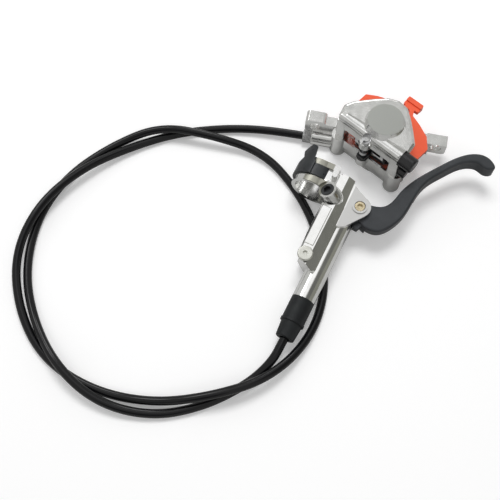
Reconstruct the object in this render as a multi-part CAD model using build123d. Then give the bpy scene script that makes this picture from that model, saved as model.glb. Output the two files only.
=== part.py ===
from build123d import *
import math
import os

os.makedirs("parts", exist_ok=True)

# Hydraulic disc brake for a bicycle: lever and master cylinder, hose, post-mount caliper.
# Millimetres, Z up, the brake lying on a flat surface at Z = 0.

# Placing
LEVER_AT = (-38.4, -56.4, 10.65)   # centre of the lever tube where the boot ends
LEVER_TURN = -14.5                 # the tube leans this far clockwise from +Y
LEVER_RISE = 3.8                   # its clamp end is lifted, its hose end lies low
CALIPER_AT = (-11.8, 50.3)         # axis of the two caliper pistons
CALIPER_TURN = -30.0               # pads' long side, against the line of the mounting ears

# Lever frame: X towards the blade, Y along the tube from the boot, Z up
# Master cylinder
BORE_R = 5.0
TUBE_WALL = 1.7
TUBE_R = BORE_R + TUBE_WALL
BORE_START = 5.0
BORE_END = 57.5
NECK_R = 5.0
NECK_LEN = 9.0
RUNNING = 0.04                     # clearance on a radius that slides or turns
SEAT = 0.02                        # clearance on a radius that stays put

# Reservoir
BLOCK_START = 14.7
BLOCK_END = 76.4
BLOCK_LEFT = -14.2
BLOCK_RIGHT = 1.2
BLOCK_TOP = 11.2
BLOCK_FOOT = -9.4
COVER_LEFT = -13.0
COVER_RIGHT = -7.4
COVER_START = 28.0
COVER_END = 53.5
COVER_THICK = 1.2
COVER_PROUD = 0.4
TANK_FLOOR = 3.6
TANK_WALL = 1.0
DIAPHRAGM_THICK = 0.8
DIAPHRAGM_DEEP = 2.4
BLEED_X, BLEED_Y = -9.3, 21.6
BLEED_CAP_R = 4.4
BLEED_CAP_TALL = 1.8
BLEED_THREAD_R = 2.5
O_RING_THICK = 0.8

# Blade and its pivot
PIVOT_X, PIVOT_Y = 6.3, 62.7
PIVOT_BOLT_R = 2.1
BUSH_WALL = 0.5
BUSH_FLANGE = 0.6
HUB_R = 5.2
HUB_LOW, HUB_HIGH = -6.0, 4.6
HUB_ROOM_LEFT = -4.4               # the hub's room between the two plates starts here
PLATE_THICK = 2.8
PLATE_GAP = 0.3                    # free space above and below the hub's flanged bushes
BLADE_LOW, BLADE_HIGH = -5.6, 4.8
WEB_LOW = -0.8                     # underside of the thinner web beside the hub
BLADE_ROUND = 1.3
ROLLER_R = 1.8
ROLLER_PIN_R = 0.9
ROLLER_TALL = 5.4
ROLLER_GAP = 0.1                   # roller to pushrod head, at rest

# Piston, cups and spring of the master cylinder
MASTER_FRONT = 36.0
MASTER_REAR = BORE_END - 2.2
CUP_LEN = 2.6
PUSHROD_BALL_Y = 48.0
PUSHROD_BALL_R = 2.0
PUSHROD_HEAD_R = 2.3
SPRING_R = 3.9
SPRING_WIRE_R = 0.4
SPRING_PITCH = 3.0
SPRING_LEN = 27.0

# Handlebar clamp
BAR_R = 11.1
BAR_SIDE = -12.4                   # the bar's side that faces the tube
BAR_X, BAR_Z = BAR_SIDE - BAR_R, 2.4
BAND_THICK = 2.2
BAND_R = BAR_R + BAND_THICK
BAND_START, BAND_END = 62.0, 77.6
SLOT_START, SLOT_END = 66.0, 74.0
CLAMP_SCREW_X, CLAMP_SCREW_Y = -13.9, 60.9
CLAMP_SCREW_TILT = 26.0            # the screw leans away from the bar, so that it passes beside it
CLAMP_SCREW_R = 2.5
CLAMP_SCREW_LEN = 14.2             # boss face to the screw's end
CLAMP_HEAD_R = 3.9
CLAMP_HEAD_TALL = 3.0
CLAMP_HEAD_SINK = 2.6
CLAMP_BOSS_R = 5.3
CLAMP_BOSS_TOP = BAR_Z + BAND_R + 0.6
HINGE_ANGLE = -52.0
HINGE_PIN_R = 1.2
HINGE_R = 2.7
INSERT_THICK = 1.5
SCREW_LUG_TOP = 8.2
CLAMP_GAP = 0.8
PAD_START = 69.6
BAND_PAD_REACH = 11.2              # bar's axis to the far pad's edge

# Hose and its fittings
HOSE_R = 2.5
NUT_THREAD_R = 4.0
NUT_THREAD_LEN = 6.0
HOSE_AIR = 0.15                    # hose to the bore of a nut
NUT_HEX = 8.0
OLIVE_R = 3.4
OLIVE_LEN = 2.6
BOOT_LEN = 24.4
BOOT_END_R = 5.4

# Caliper frame: X along the pads, Y towards the wheel hub, Z up, origin on the piston axis
# Caliper body
CROWN = 3.98                       # wall over the outer piston's bore
LOWER_FOOT = 3.0
ROTOR_Z = 23.5
ROTOR_R = 90.0
RIM_Y = -8.0                       # rotor's rim, from the piston axis
ROTOR_Y = RIM_Y + ROTOR_R
ROTOR_AIR = 1.5
ROTOR_GAP = 11.0                   # height of the slot that the rotor runs in
DOME_RISE = 4.0                    # dome over the casting's flat top
DOME_FOOT = 3.0                    # dome's foot, sunk into the casting
FACE_R = 9.8                       # flat round face over the outer piston
FRONT_FACE = -14.0
LOBE_R = 5.0
WINDOW_LEFT, WINDOW_RIGHT = -17.5, 15.4
BLEED_RIDGE_Y, BLEED_RIDGE_R = -9.3, 4.6
BLEED_RIDGE_DEEP = 4.4             # its axis under the casting's flat top
RIDGE_LEFT, RIDGE_RIGHT = -21.5, 20.5
NIPPLE_R = 3.0
NIPPLE_END = 10.0
NIPPLE_CAP_R = 4.7
CROSS_X, CROSS_Y = -20.9, -10.0    # drilling that joins the two halves
PLUG_FACE, PLUG_Y = 22.1, -10.4
PLUG_THREAD_R = 2.2
PLUG_HEAD_R = 3.2

# Pistons and pads
PISTON_R = 10.0
PISTON_TALL = 8.6
PISTON_WALL = 2.2
SEAL_DEEP = 1.6
SEAL_TALL = 2.0
LINING_THICK = 2.4
PAD_PLATE_THICK = 2.0
PAD_HALF = 13.0
PAD_HUB_SIDE = 11.0
PAD_CLEAR = 0.12                   # lining to spacer, on each side
PAD_AIR = 0.3                      # pad to casting, all round
PIN_X, PIN_Y = -1.8, -14.2
PIN_R = 1.5
PIN_LUG_DEEP = 4.8                 # lug's top under the casting's flat top
PIN_LUG_FOOT = 12.0

# Mounting ears, lined up with X
MOUNT_SPACING = 74.0
EAR_HOLE_R = 3.4
EAR_LEFT_X = -40.1                 # hole centre, from the piston axis
EAR_Z = 14.5
EAR_FRONT_Y = 5.3
EAR_THICK = 7.5
EAR_TALL = 11.2
EAR_EDGE = 6.3                     # hole centre to the ear's end
PORT_Y, PORT_Z = 3.7, 4.7          # hose port barrel, under the left ear
PORT_R = 4.6
PORT_LEFT, PORT_RIGHT = -41.7, -22.0

# Shipping spacer
SPACER_THICK = 2.4

# Heights that follow from the pads, pistons and walls
PISTON_AIR = 1.2                   # bore's end behind the piston
PAD_STACK = SPACER_THICK / 2 + PAD_CLEAR + LINING_THICK + PAD_PLATE_THICK
CALIPER_TALL = ROTOR_Z + PAD_STACK + PISTON_TALL + PISTON_AIR + CROWN
UPPER_TOP = CALIPER_TALL - DOME_RISE
BLEED_RIDGE_Z = UPPER_TOP - BLEED_RIDGE_DEEP
PIN_LUG_TOP = UPPER_TOP - PIN_LUG_DEEP

# Hose route, chosen by hand
ARC_SHARE = 0.45
HOSE_ROUTE = [
    (-38.3, -55.9, 10.7), (-41.5, -68.5, 9.8), (-44.9, -81.5, 8.6), (-48.6, -94.0, 6.9),
    (-59.5, -108.0, 2.6), (-80.5, -125.0, 2.5), (-106.5, -136.0, 2.5), (-136.5, -135.5, 6.0),
    (-163.0, -121.5, 10.5), (-185.5, -97.0, 3.5), (-200.0, -69.0, 2.5), (-204.0, -35.0, 2.5),
    (-195.0, -4.0, 2.6), (-174.5, 22.5, 2.5), (-146.5, 39.5, 9.0), (-113.0, 39.5, 9.0),
    (-81.0, 37.5, 3.5), (-57.5, 19.0, 2.5), (-38.0, -8.0, 2.5), (-26.5, -43.0, 2.5),
    (-30.0, -75.0, 3.0), (-48.0, -104.0, 9.5), (-77.5, -121.0, 11.0), (-108.5, -129.0, 3.0),
    (-141.5, -129.0, 2.5), (-173.0, -117.5, 2.5), (-195.5, -93.5, 2.5), (-208.0, -62.0, 6.0),
    (-203.5, -29.5, 9.5), (-186.5, -0.5, 8.5), (-164.0, 22.5, 3.5), (-136.5, 40.5, 2.5),
    (-105.5, 51.0, 2.5), (-74.5, 54.0, 4.7), (-45.3, 54.0, 4.7),
]

LEVER = Pos(*LEVER_AT) * Rot(0, 0, LEVER_TURN) * Rot(LEVER_RISE, 0, 0)
CALIPER = Pos(CALIPER_AT[0], CALIPER_AT[1], 0) * Rot(0, 0, CALIPER_TURN)
EARS = Pos(CALIPER_AT[0], CALIPER_AT[1], 0)

CLAMP_SCREW = Pos(CLAMP_SCREW_X, CLAMP_SCREW_Y, CLAMP_BOSS_TOP) * Rot(0, -CLAMP_SCREW_TILT, 0)

LOW_END = (Align.CENTER, Align.CENTER, Align.MIN)


def save(part, name):
    export_step(part, f"parts/{name}.step")
    print(f"{name}: {len(part.solids())} solid, {part.volume:.0f} mm3")


def rod_x(radius, x0, x1, y=0.0, z=0.0):
    return Pos(x0, y, z) * Rot(0, 90, 0) * Cylinder(radius, x1 - x0, align=LOW_END)


def rod_y(radius, y0, y1, x=0.0, z=0.0):
    return Pos(x, y0, z) * Rot(-90, 0, 0) * Cylinder(radius, y1 - y0, align=LOW_END)


def rod_z(radius, z0, z1, x=0.0, y=0.0):
    return Pos(x, y, z0) * Cylinder(radius, z1 - z0, align=LOW_END)


def block(x0, x1, y0, y1, z0, z1):
    return Pos((x0 + x1) / 2, (y0 + y1) / 2, (z0 + z1) / 2) * Box(x1 - x0, y1 - y0, z1 - z0)


def slab(points, z0, z1, rounding=0.0):
    """A plate of that outline between two heights, with its upright corners rounded."""
    face = make_face(Polyline(*points, close=True))
    if rounding:
        face = fillet(face.vertices(), rounding)
    return Pos(0, 0, z0) * extrude(face, amount=z1 - z0, dir=(0, 0, 1))


def ring_part(inner, outer, y0, y1, start, end, x, z):
    """Part of a ring round an axis along Y, from one angle to another; 0 points to +X, 90 up."""
    reach = 3 * outer
    steps = [start + (end - start) * i / 6 for i in range(7)]
    wedge = [(0, 0)] + [(reach * math.cos(math.radians(a)), reach * math.sin(math.radians(a))) for a in steps]
    ring = Circle(outer) - Circle(inner)
    ring = ring & make_face(Polyline(*wedge, close=True))
    return Pos(x, y1, z) * Rot(90, 0, 0) * extrude(ring, amount=y1 - y0, dir=(0, 0, 1))


def hex_y(across, y0, y1, x=0.0, z=0.0):
    flats = RegularPolygon(across / math.sqrt(3), 6)
    return Pos(x, y1, z) * Rot(90, 0, 0) * extrude(flats, amount=y1 - y0, dir=(0, 0, 1))


def hex_hole(across, z0, z1, x, y):
    return Pos(x, y, z0) * extrude(RegularPolygon(across / math.sqrt(3), 6), amount=z1 - z0)


# The lever's casting

def reservoir_block():
    """Long facets from the cover down to the tube, trimmed to the block's plan outline."""
    section = [
        (BLOCK_LEFT, -4.5), (BLOCK_LEFT, BLOCK_TOP - 1.8), (BLOCK_LEFT + 1.6, BLOCK_TOP),
        (COVER_RIGHT + 0.8, BLOCK_TOP), (-1.2, BLOCK_TOP - 3.0), (BLOCK_RIGHT, 2.5), (BLOCK_RIGHT, -4.5),
    ]
    face = make_face(Polyline(*section, close=True))
    length = BLOCK_END - BLOCK_START
    body = Pos(0, BLOCK_END, 0) * Rot(90, 0, 0) * extrude(face, amount=length, dir=(0, 0, 1))
    plan = [
        (BLOCK_RIGHT, BLOCK_START + 3.6), (-2.4, BLOCK_START), (-8.5, BLOCK_START + 2.6),
        (-13.4, BLOCK_START + 6.4), (BLOCK_LEFT, BLOCK_START + 20), (BLOCK_LEFT, BLOCK_END - 5),
        (-10.0, BLOCK_END), (-2.5, BLOCK_END - 0.4), (-1.6, BLOCK_END - 18), (BLOCK_RIGHT, BLOCK_END - 26),
    ]
    return body & slab(plan, -20, 20)


def bracket_outline(low_y):
    high_y = PIVOT_Y + 12.3
    return [(-9, low_y), (0, low_y), (3.4, low_y + 1.6), (PIVOT_X + 5.0, PIVOT_Y - 4.2),
            (PIVOT_X + 6.3, PIVOT_Y), (PIVOT_X + 4.6, PIVOT_Y + 4.6), (1.8, PIVOT_Y + 9.2), (-3, high_y),
            (-9, high_y)]


def bracket_plate(low_y, z0, z1):
    plate = slab(bracket_outline(low_y), z0, z1)
    return plate + rod_z(HUB_R + 1.2, z0, z1, PIVOT_X, PIVOT_Y)


def lever_body():
    top_low = HUB_HIGH + BUSH_FLANGE + PLATE_GAP
    top_high = top_low + PLATE_THICK
    foot_high = HUB_LOW - BUSH_FLANGE - PLATE_GAP
    foot_low = foot_high - PLATE_THICK

    body = rod_y(TUBE_R, 0, BORE_END) + rod_y(NECK_R, -NECK_LEN, 0)
    body += reservoir_block()
    body += block(-12.0, -5.2, PIVOT_Y - 12.0, BLOCK_END - 1.4, foot_low, 0)
    body += bracket_plate(PIVOT_Y - 16.5, top_low, top_high)
    body += bracket_plate(PIVOT_Y - 12.0, foot_low, foot_high)
    # a boss under the pivot carries its thread and stands the lever on the table
    body += rod_z(HUB_R - 0.6, foot_low - 4.7, foot_low, PIVOT_X, PIVOT_Y)
    # the clamp's half of the saddle, and the lug that its screw goes into
    body += ring_part(BAR_R, BAND_R, BAND_START, BAND_END, HINGE_ANGLE + 8, 52, BAR_X, BAR_Z)
    lug = CLAMP_SCREW * rod_z(CLAMP_BOSS_R - 0.6, -CLAMP_SCREW_LEN - 3, 0)
    body += lug & block(-40, 20, 40, 90, 0, SCREW_LUG_TOP)

    # room for the hub between the two plates
    body -= block(HUB_ROOM_LEFT, 30, BORE_END, 100, foot_high, top_low)
    body -= block(BLOCK_RIGHT + 6.6, 30, 40, BORE_END + 0.01, foot_high, top_low)
    # the handlebar runs past the whole lever, with a little air outside the clamp
    body -= rod_y(BAR_R + 0.5, -5, BAND_START, BAR_X, BAR_Z)
    body -= rod_y(BAR_R, BAND_START - 1, BLOCK_END + 5, BAR_X, BAR_Z)

    # a step and a round seat for the end of the clamp band
    body -= block(BAR_X, BAR_X + BAND_PAD_REACH + CLAMP_GAP, CLAMP_SCREW_Y, BAND_END + 1, SCREW_LUG_TOP, 20)
    seat = CLAMP_SCREW * rod_z(CLAMP_BOSS_R + CLAMP_GAP, -CLAMP_SCREW_LEN, 8)
    body -= seat & block(-40, 20, 40, 90, SCREW_LUG_TOP, 30)

    # master cylinder, fluid way and hose port
    body -= rod_y(BORE_R, BORE_START, BORE_END + 0.01)
    body -= rod_y(BORE_R + 0.6, BORE_END - 2.0, BORE_END - 1.0)
    body -= rod_y(1.2, 0, BORE_START + 0.01)
    body -= rod_y(NUT_THREAD_R, -NECK_LEN - 0.01, -3.0)
    body -= rod_y(OLIVE_R, -3.01, 0)
    body -= rod_y(HOSE_R + 0.1, -0.01, 0.8)
    # reservoir and its two ports
    tank = block(COVER_LEFT + TANK_WALL, COVER_RIGHT - TANK_WALL, COVER_START + TANK_WALL,
                 COVER_END - TANK_WALL, TANK_FLOOR, BLOCK_TOP + 1)
    tank -= rod_y(BAR_R + 0.5 + TANK_WALL, 0, 100, BAR_X, BAR_Z)
    body -= tank
    body -= block(COVER_LEFT, COVER_RIGHT, COVER_START, COVER_END, BLOCK_TOP + COVER_PROUD - COVER_THICK,
                  BLOCK_TOP + 2)
    for port_y in (BORE_END - 21.0, BORE_END - 13.0):
        body -= Pos(COVER_RIGHT - 1.5, port_y, TANK_FLOOR + 1.2) * Rot(0, 116, 0) * Cylinder(
            0.5, 4.8, align=LOW_END)
    # bleed screw, clamp screw, pivot bolt
    body -= rod_z(BLEED_THREAD_R, BLOCK_TOP - 7.0, BLOCK_TOP + 3, BLEED_X, BLEED_Y)
    body -= CLAMP_SCREW * rod_z(CLAMP_SCREW_R, -CLAMP_SCREW_LEN - 0.4, 0)
    body += rod_z(4.4, top_high - 0.01, top_high + 0.8, PIVOT_X, PIVOT_Y)
    body -= rod_z(3.2, top_high - 1.6, top_high + 2, PIVOT_X, PIVOT_Y)
    body -= rod_z(PIVOT_BOLT_R + SEAT, foot_low - 6, top_high, PIVOT_X, PIVOT_Y)
    # knuckle for the clamp's hinge pin
    hinge_x, hinge_z = hinge_centre()
    knuckle_start, knuckle_end = hinge_knuckle()
    body += rod_y(HINGE_R, knuckle_start, knuckle_end, hinge_x, hinge_z) - rod_y(
        BAR_R, BAND_START - 1, BAND_END + 1, BAR_X, BAR_Z)
    for start, end in hinge_forks():
        body -= rod_y(HINGE_R + 0.15, start - 0.1, end + 0.1, hinge_x, hinge_z)
    body -= rod_y(HINGE_PIN_R + SEAT, BAND_START - 1, BAND_END + 1, hinge_x, hinge_z)
    return body


def hinge_centre():
    reach = BAND_R + 0.4
    angle = math.radians(HINGE_ANGLE)
    return BAR_X + reach * math.cos(angle), BAR_Z + reach * math.sin(angle)


def hinge_knuckle():
    third = (BAND_END - BAND_START) / 3
    return BAND_START + third, BAND_END - third


def hinge_forks():
    knuckle_start, knuckle_end = hinge_knuckle()
    return (BAND_START, knuckle_start - 0.2), (knuckle_end + 0.2, BAND_END)


# Reservoir and bleed pieces

def reservoir_cover():
    low = BLOCK_TOP + COVER_PROUD - COVER_THICK
    plate = block(COVER_LEFT + SEAT, COVER_RIGHT - SEAT, COVER_START + SEAT, COVER_END - SEAT,
                  low, low + COVER_THICK)
    return chamfer(plate.faces().sort_by(Axis.Z)[-1].edges(), 0.3)


def reservoir_diaphragm():
    """Rubber bellows: a tray whose floor hangs under the cover."""
    high = BLOCK_TOP + COVER_PROUD - COVER_THICK
    left, right = COVER_LEFT + TANK_WALL + SEAT, COVER_RIGHT - TANK_WALL - SEAT
    start, end = COVER_START + TANK_WALL + SEAT, COVER_END - TANK_WALL - SEAT
    tray = block(left, right, start, end, high - DIAPHRAGM_DEEP, high)
    hollow = block(left + DIAPHRAGM_THICK, right - DIAPHRAGM_THICK, start + DIAPHRAGM_THICK,
                   end - DIAPHRAGM_THICK, high - DIAPHRAGM_DEEP + DIAPHRAGM_THICK, high + 1)
    return tray - hollow


def bleed_screw():
    low = BLOCK_TOP + O_RING_THICK
    screw = rod_z(BLEED_CAP_R, low, low + BLEED_CAP_TALL, BLEED_X, BLEED_Y)
    screw = fillet(screw.edges().sort_by(Axis.Z)[-1], 0.6)
    screw += rod_z(BLEED_THREAD_R - SEAT, BLOCK_TOP - 6.0, low + 0.01, BLEED_X, BLEED_Y)
    return screw - hex_hole(2.5, low + 0.5, low + 3, BLEED_X, BLEED_Y)


def bleed_o_ring():
    ring = rod_z(BLEED_CAP_R - 0.5, BLOCK_TOP, BLOCK_TOP + O_RING_THICK, BLEED_X, BLEED_Y)
    return ring - rod_z(BLEED_THREAD_R + 0.05, BLOCK_TOP - 1, BLOCK_TOP + 2, BLEED_X, BLEED_Y)


# Handlebar clamp

def clamp_band():
    """Hinged below, it passes under and round the bar, and its two prongs come back over the top."""
    hinge_x, hinge_z = hinge_centre()
    band = ring_part(BAR_R, BAND_R, BAND_START, BAND_END, 70, 300, BAR_X, BAR_Z)
    # the screw's boss stands on the near prong, a plain pad on the far one
    low, prong_top = SCREW_LUG_TOP + CLAMP_GAP, CLAMP_BOSS_TOP - 0.8
    boss = CLAMP_SCREW * rod_z(CLAMP_BOSS_R, -CLAMP_SCREW_LEN, 0)
    band += boss & block(-40, 20, 40, 90, low, 40)
    band += slab([(BAR_X + 3, BAND_START), (CLAMP_SCREW_X, BAND_START - 3.4),
                  (CLAMP_SCREW_X + 1, BAND_START + 4), (BAR_X + 3, SLOT_START)],
                 BAR_Z + BAR_R - 0.6, prong_top)
    band += slab([(BAR_X + 3, SLOT_END), (BAR_X + 8.4, SLOT_END), (BAR_X + 8.4, BAND_END),
                  (BAR_X + 3, BAND_END)], BAR_Z + BAR_R - 1.6, prong_top)
    band += slab([(BAR_X + 8.0, PAD_START), (BAR_X + BAND_PAD_REACH, PAD_START),
                  (BAR_X + BAND_PAD_REACH, BAND_END - 0.8), (BAR_X + 8.0, BAND_END - 0.8)],
                 low, CLAMP_BOSS_TOP + 0.4, 1.4)
    band += block(CLAMP_SCREW_X - 2.0, BAR_X + BAND_PAD_REACH, CLAMP_SCREW_Y, BAND_END - 0.8,
                  low, BAR_Z + BAR_R - 1.2)
    # the bar, with a little air beside the boss
    band -= rod_y(BAR_R, BAND_START - 10, BAND_END + 1, BAR_X, BAR_Z)
    band -= rod_y(BAR_R + 0.5, BAND_START - 10, BAND_START, BAR_X, BAR_Z)
    band -= slab([(BAR_X - 20, SLOT_START), (BAR_X + 5.7, SLOT_START), (BAR_X + 5.7, SLOT_END),
                  (BAR_X - 20, SLOT_END)], BAR_Z + 2.0, BAR_Z + 30)
    band -= CLAMP_SCREW * rod_z(CLAMP_BOSS_R, 0, 8)
    band -= CLAMP_SCREW * rod_z(CLAMP_HEAD_R + 0.1, -CLAMP_HEAD_SINK, 8)
    band -= CLAMP_SCREW * rod_z(CLAMP_SCREW_R + 0.1, -CLAMP_SCREW_LEN - 1, 0)
    # fork of the hinge, on both sides of the casting's knuckle
    knuckle_start, knuckle_end = hinge_knuckle()
    for start, end in hinge_forks():
        band += rod_y(HINGE_R, start, end, hinge_x, hinge_z) - rod_y(
            BAR_R, BAND_START - 1, BAND_END + 1, BAR_X, BAR_Z)
    band -= rod_y(HINGE_R + 0.15, knuckle_start - 0.1, knuckle_end + 0.1, hinge_x, hinge_z)
    band -= rod_y(HINGE_PIN_R + SEAT, BAND_START - 1, BAND_END + 1, hinge_x, hinge_z)
    return band


def clamp_hinge_pin():
    hinge_x, hinge_z = hinge_centre()
    return rod_y(HINGE_PIN_R, BAND_START, BAND_END, hinge_x, hinge_z)


def clamp_screw():
    head_low = -CLAMP_HEAD_SINK
    screw = rod_z(CLAMP_HEAD_R, head_low, head_low + CLAMP_HEAD_TALL)
    screw = fillet(screw.edges().sort_by(Axis.Z)[-1], 0.5)
    screw += rod_z(CLAMP_SCREW_R - SEAT, -CLAMP_SCREW_LEN, head_low + 0.01)
    return CLAMP_SCREW * (screw - hex_hole(4.0, head_low + 1.0, head_low + 5, 0, 0))


def clamp_insert():
    """Moulded sleeve over the band: a tongue in its slot and two rounded ears on the outside."""
    far = BAND_END + 8.0
    plan = [(BAR_X + 5.4, SLOT_START + 0.3), (BAR_X + 5.4, SLOT_END - 0.3), (BAR_X - 4.0, SLOT_END - 0.3),
            (BAR_X - 5.4, SLOT_END + 3.0), (BAR_X - 6.5, far - 1.6), (BAR_X - 10.0, far),
            (BAR_X - 14.0, far - 4.0), (BAR_X - 12.0, SLOT_END + 2.4), (BAR_X - 16.0, SLOT_END - 2.0),
            (BAR_X - 16.0, SLOT_START + 0.6), (BAR_X - 8.4, SLOT_START + 0.3)]
    prism = slab(plan, BAR_Z - 3.0, BAR_Z + 20, 0.9)
    outside = ring_part(BAND_R + 0.05, BAND_R + INSERT_THICK, BAND_START - 2, far + 1, 106, 205, BAR_X, BAR_Z)
    sleeve = prism & outside
    tongue = ring_part(BAR_R + 0.1, BAND_R + INSERT_THICK - 0.8, SLOT_START + 0.3, SLOT_END - 0.3, 68, 168,
                       BAR_X, BAR_Z)
    return sleeve + tongue


# Blade, pivot and roller

def blade_outline():
    """One smooth line from the hub, out along the far edge, round the tip and back along the finger face."""
    edge = [(PIVOT_X + 2.0, PIVOT_Y + HUB_R), (13.2, 68.6), (18.0, 70.6), (21.2, 75.0), (23.0, 82.0),
            (29.8, 97.5), (37.8, 109.4), (45.5, 119.4), (55.0, 126.0), (64.0, 125.2),
            (67.2, 121.2), (63.4, 118.8), (57.6, 120.0), (51.4, 118.0), (42.0, 107.2), (34.8, 95.4),
            (32.4, 84.0), (31.1, 70.9), (27.6, 61.4), (20.6, 54.0), (13.0, 53.8),
            (PIVOT_X + 1.0, PIVOT_Y - HUB_R)]
    return make_face([Spline(*edge), Line(edge[-1], edge[0])])


def finger_dimples(blade):
    """Two staggered rows of shallow dimples on the face that the finger pulls."""
    for row, height in enumerate((-2.6, 0.6)):
        for step in range(5):
            along = (step + 0.5 * row) / 5
            x = 40.0 + 14.0 * along
            y = 103.6 + 16.2 * along - 3.6 * along * along
            blade -= Pos(x + 0.75, y - 0.75, height) * Sphere(1.35)
    return blade


def lever_blade():
    prism = Pos(0, 0, BLADE_LOW) * extrude(blade_outline(), amount=BLADE_HIGH - BLADE_LOW, dir=(0, 0, 1))
    blade = fillet(prism.edges().filter_by(Plane.XY), BLADE_ROUND)
    blade -= slab([(PIVOT_X + HUB_R + 2.2, 45), (60, 45), (60, 84), (36, 86), (20, 78),
                   (PIVOT_X + HUB_R + 2.2, 72)], BLADE_LOW - 1, WEB_LOW, 2.0)
    blade = finger_dimples(blade)
    # the bushes' flanges run clear over the hub's end faces
    blade -= rod_z(HUB_R, HUB_HIGH, BLADE_HIGH + 1, PIVOT_X, PIVOT_Y)
    # a nub below the hub, where the reach stop would bear
    blade += slab([(6.6, 51.4), (9.8, 51.0), (12.5, 56.5), (8.0, 58.0)], WEB_LOW, BLADE_HIGH - 1.4, 0.8)
    blade += blade_hub()
    return blade - rod_z(PIVOT_BOLT_R + BUSH_WALL + SEAT, HUB_LOW - 1, HUB_HIGH + 1, PIVOT_X, PIVOT_Y)


def blade_hub():
    """Round hub in three layers: the outer two are cheeks that hold the roller's pin on the bore's axis."""
    round_hub = Pos(PIVOT_X, PIVOT_Y) * Circle(HUB_R)
    cheek = round_hub + Pos(0, PIVOT_Y) * Circle(2.2)
    cheek += make_face(Polyline((0, PIVOT_Y - 2.2), (PIVOT_X, PIVOT_Y - HUB_R + 0.5),
                                (PIVOT_X, PIVOT_Y + HUB_R - 0.5), (0, PIVOT_Y + 2.2), close=True))
    cheek -= Pos(0, PIVOT_Y) * Circle(ROLLER_PIN_R + SEAT)
    open_to = PUSHROD_HEAD_R + 0.3
    middle = round_hub - Pos(open_to - 5, PIVOT_Y - 3) * Rectangle(10, 7)
    middle -= Pos(0, PIVOT_Y) * Circle(ROLLER_R + 0.3)
    room = ROLLER_TALL / 2 + 0.1
    hub = Pos(0, 0, -room) * extrude(middle, amount=2 * room, dir=(0, 0, 1))
    hub += Pos(0, 0, HUB_LOW) * extrude(cheek, amount=-room - HUB_LOW, dir=(0, 0, 1))
    hub += Pos(0, 0, room) * extrude(cheek, amount=HUB_HIGH - room, dir=(0, 0, 1))
    return hub


def pivot_bushes():
    """Two flanged bushes, one pressed into each end of the hub."""
    outside = PIVOT_BOLT_R + BUSH_WALL
    pair = []
    for face, way in ((HUB_HIGH, 1), (HUB_LOW, -1)):
        flange_end = face + way * BUSH_FLANGE
        sleeve_end = face - way * 4.0
        bush = rod_z(outside, min(face, sleeve_end), max(face, sleeve_end), PIVOT_X, PIVOT_Y)
        bush += rod_z(outside + 1.2, min(face, flange_end), max(face, flange_end), PIVOT_X, PIVOT_Y)
        bush -= rod_z(PIVOT_BOLT_R + RUNNING, HUB_LOW - 2, HUB_HIGH + 2, PIVOT_X, PIVOT_Y)
        pair.append(bush)
    return Compound(children=pair)


def pivot_bolt():
    top = HUB_HIGH + BUSH_FLANGE + PLATE_GAP + PLATE_THICK
    foot = HUB_LOW - BUSH_FLANGE - PLATE_GAP - PLATE_THICK - 4.0
    bolt = rod_z(3.1, top - 1.6, top + 0.6, PIVOT_X, PIVOT_Y)
    bolt = fillet(bolt.edges().sort_by(Axis.Z)[-1], 0.4)
    bolt += rod_z(PIVOT_BOLT_R, foot, top - 1.59, PIVOT_X, PIVOT_Y)
    return bolt - hex_hole(3.0, top - 1.0, top + 1, PIVOT_X, PIVOT_Y)


def cam_roller():
    roller = rod_z(ROLLER_R, -ROLLER_TALL / 2, ROLLER_TALL / 2, 0, PIVOT_Y)
    return roller - rod_z(ROLLER_PIN_R + RUNNING, -10, 10, 0, PIVOT_Y)


def roller_pin():
    return rod_z(ROLLER_PIN_R, HUB_LOW + 0.2, HUB_HIGH - 0.2, 0, PIVOT_Y)


# Inside the master cylinder

def pushrod():
    """Flat head against the roller, ball end in the piston's socket."""
    head_face = PIVOT_Y - ROLLER_R - ROLLER_GAP
    rod = rod_y(1.5, PUSHROD_BALL_Y, head_face - 0.5) + rod_y(PUSHROD_HEAD_R, head_face - 1.4, head_face)
    return rod + Pos(0, PUSHROD_BALL_Y, 0) * Sphere(PUSHROD_BALL_R)


def master_piston():
    """Spool with two cup grooves and a socket for the pushrod."""
    piston = rod_y(BORE_R - RUNNING, MASTER_FRONT, MASTER_REAR)
    for groove in cup_grooves():
        piston -= rod_y(BORE_R + 1, groove, groove + CUP_LEN) - rod_y(3.2, groove - 1, groove + CUP_LEN + 1)
    piston -= rod_y(2.8, PUSHROD_BALL_Y, MASTER_REAR + 1)
    piston -= Pos(0, PUSHROD_BALL_Y, 0) * Sphere(PUSHROD_BALL_R + RUNNING)
    return piston


def cup_grooves():
    return MASTER_FRONT + 2.0, MASTER_REAR - 2.0 - CUP_LEN


def piston_cups():
    """Rubber lip seals, each with its lip towards the fluid."""
    cups = []
    for groove in cup_grooves():
        cup = rod_y(BORE_R - 0.01, groove + SEAT, groove + CUP_LEN - SEAT)
        cup -= rod_y(3.2 + SEAT, groove - 1, groove + CUP_LEN + 1)
        lip_gap = rod_y(4.6, groove, groove + 0.9) - rod_y(3.7, groove - 1, groove + 2)
        cups.append(cup - lip_gap)
    return Compound(children=cups)


def piston_stop_ring():
    ring = rod_y(BORE_R + 0.55, BORE_END - 1.95, BORE_END - 1.05) - rod_y(3.9, 0, 100)
    return ring - block(-1.0, 1.0, 0, 100, -10, -2)


def return_spring():
    """It rides on the piston, and is shown at its working length with its stroke left free in front."""
    coil = Helix(pitch=SPRING_PITCH, height=SPRING_LEN, radius=SPRING_R)
    wire = Plane(coil @ 0, z_dir=coil % 0) * Circle(SPRING_WIRE_R)
    spring = sweep(wire, path=coil)
    return Pos(0, MASTER_FRONT - SPRING_WIRE_R - 0.02, 0) * Rot(90, 0, 0) * spring


# Hose joints, the same at both ends but for the way they point

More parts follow.
